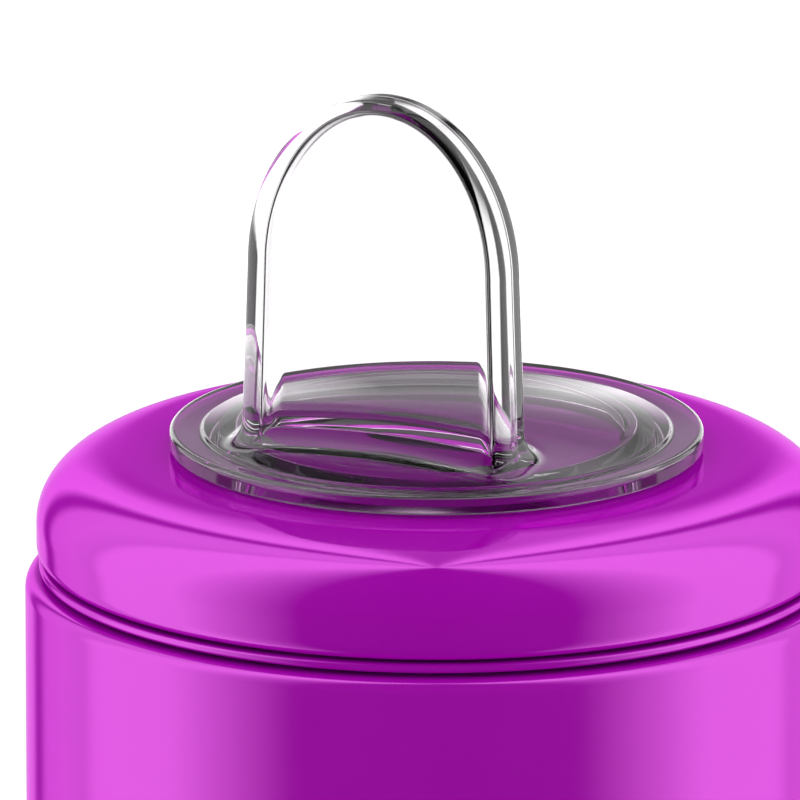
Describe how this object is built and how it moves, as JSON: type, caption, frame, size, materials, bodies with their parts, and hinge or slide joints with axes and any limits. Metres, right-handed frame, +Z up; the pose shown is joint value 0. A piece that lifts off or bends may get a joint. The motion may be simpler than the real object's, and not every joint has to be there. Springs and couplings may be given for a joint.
{
  "type": "insulated kids water bottle with spout lid",
  "caption": "Small insulated drinking bottle with a screw-on lacquered lid, a clear hollow drinking spout on a round flange, and a spill valve beneath it.",
  "frame": {"origin": "middle of the base, on the surface the bottle stands on", "axes": "+Z up the bottle's axis; -Y is the drinking side, towards which the spout is offset; the spout is wide along X"},
  "size_m": [0.072, 0.072, 0.1853],
  "materials": {
    "body_lacquer": "gloss candy purple lacquer over stainless steel",
    "lid_lacquer": "gloss candy purple, lacquered to match the body",
    "steel": "brushed and electropolished stainless",
    "getter_metal": "dull sintered metal",
    "sealing_glass": "fused glass",
    "clear_plastic": "polished clear copolyester",
    "purple_plastic": "satin moulded polypropylene, dark purple",
    "silicone": "matte translucent silicone",
    "purple_silicone": "matte purple silicone"
  },
  "bodies": {
    "bottle": {"outer_shell": "body_lacquer", "inner_liner": "steel", "bottom_plate": "steel", "getter": "getter_metal", "sealing_bead": "sealing_glass", "base_pad": "purple_silicone"},
    "gasket": {"lid_gasket": "silicone"},
    "lid": {"lid_shell": "lid_lacquer", "lid_trim": "lid_lacquer", "lid_core": "purple_plastic", "vent_valve": "silicone", "spout_seal": "silicone"},
    "spout": {"spout": "clear_plastic"},
    "valve": {"valve_cage": "purple_plastic", "valve_membrane": "purple_silicone", "valve_cap": "lid_lacquer"}
  },
  "joints": [
    {"name": "lid_rise", "type": "slide", "parent": "bottle", "child": "gasket", "axis": [0, 0, 1], "range_m": [0, 0.0091]},
    {"name": "lid_turn", "type": "hinge", "parent": "gasket", "child": "lid", "pos_m": [0, 0, 0.1464], "axis": [0, 0, 1], "range_deg": [0, 900]},
    {"name": "spout_lift", "type": "slide", "parent": "lid", "child": "spout", "axis": [0, 0, 1], "range_m": [0, 0.015]},
    {"name": "valve_drop", "type": "slide", "parent": "spout", "child": "valve", "axis": [0, 0, -1], "range_m": [0, 0.008]}
  ],
  "couplings": [
    {"joint": "lid_rise", "follows": "lid_turn", "m_per_rad": 0.00057296}
  ]
}
